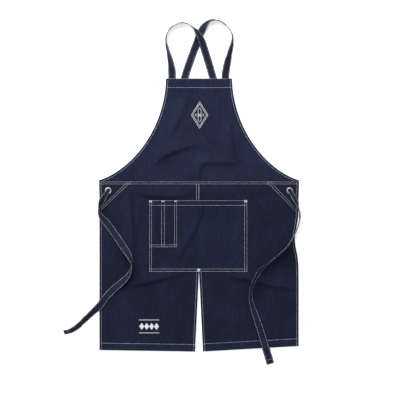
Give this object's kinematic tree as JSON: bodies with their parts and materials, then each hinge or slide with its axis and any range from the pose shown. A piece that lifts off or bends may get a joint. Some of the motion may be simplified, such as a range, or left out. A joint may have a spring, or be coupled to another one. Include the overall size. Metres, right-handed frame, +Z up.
{
  "type": "bib apron",
  "caption": "Cross-back denim bib apron lying flat, with a split skirt, a patch pocket with pen slots, eyelets at the waist and straps that cross and end as ties.",
  "frame": {"origin": "bottom centre of the cloth, without the straps, on the surface that the apron lies on", "axes": "+X to the viewer's right across the apron, +Y from the skirt's hem to the bib's top, +Z up out of the front of the cloth"},
  "size_m": [0.7679, 1.1242, 0.0309],
  "materials": {
    "denim": "dark indigo denim",
    "pocket_denim": "dark indigo denim",
    "strap_denim": "dark indigo denim, folded and edge stitched",
    "thread": "off-white sewing thread",
    "eyelet_metal": "nickel plate"
  },
  "bodies": {
    "skirt": {"skirt_panel_left": "denim", "side_hem_left": "denim", "bottom_hem_left": "denim", "slit_facing_left": "denim", "corner_patch_left": "denim", "skirt_panel_right": "denim", "side_hem_right": "denim", "bottom_hem_right": "denim", "slit_facing_right": "denim", "corner_patch_right": "denim", "waist_seam_lap": "denim", "centre_seam_lap": "denim", "eyelet_left": "eyelet_metal", "eyelet_washer_left": "eyelet_metal", "eyelet_right": "eyelet_metal", "eyelet_washer_right": "eyelet_metal", "pocket_panel": "pocket_denim", "pocket_hem": "pocket_denim", "pen_pocket_panel": "pocket_denim", "bar_tack_pocket_left": "thread", "bar_tack_pocket_right": "thread", "bar_tack_slit": "thread", "bar_tack_pen_divider": "thread", "bar_tack_pen_right": "thread", "strap_left_waist_run": "strap_denim", "strap_right_waist_run": "strap_denim"},
    "bib": {"bib_panel": "denim", "bib_top_hem": "denim", "armhole_binding_left": "denim", "armhole_binding_right": "denim", "strap_left_sewn_end": "strap_denim", "strap_right_sewn_end": "strap_denim", "strap_left_back_run": "strap_denim", "strap_right_back_run": "strap_denim"},
    "strap_loops": {"strap_left_loop": "strap_denim", "strap_right_loop": "strap_denim"},
    "tie_at_right_eyelet": {"strap_left_tie": "strap_denim"},
    "tie_at_left_eyelet": {"strap_right_tie": "strap_denim"}
  },
  "joints": [
    {"name": "bib_fold", "type": "hinge", "parent": "skirt", "child": "bib", "pos_m": [0, 0.109, 0.0055], "axis": [1, 0, 0], "range_deg": [0, 135]},
    {"name": "strap_loops_fold", "type": "hinge", "parent": "bib", "child": "strap_loops", "pos_m": [0, 0.4443, 0.0055], "axis": [1, 0, 0], "range_deg": [0, 120]},
    {"name": "right_tie_swing", "type": "hinge", "parent": "skirt", "child": "tie_at_right_eyelet", "pos_m": [0.295, 0.079, 0.0065], "axis": [0, 0, 1], "range_deg": [0, 75]},
    {"name": "left_tie_swing", "type": "hinge", "parent": "skirt", "child": "tie_at_left_eyelet", "pos_m": [-0.295, 0.079, 0.0065], "axis": [0, 0, -1], "range_deg": [0, 75]}
  ]
}
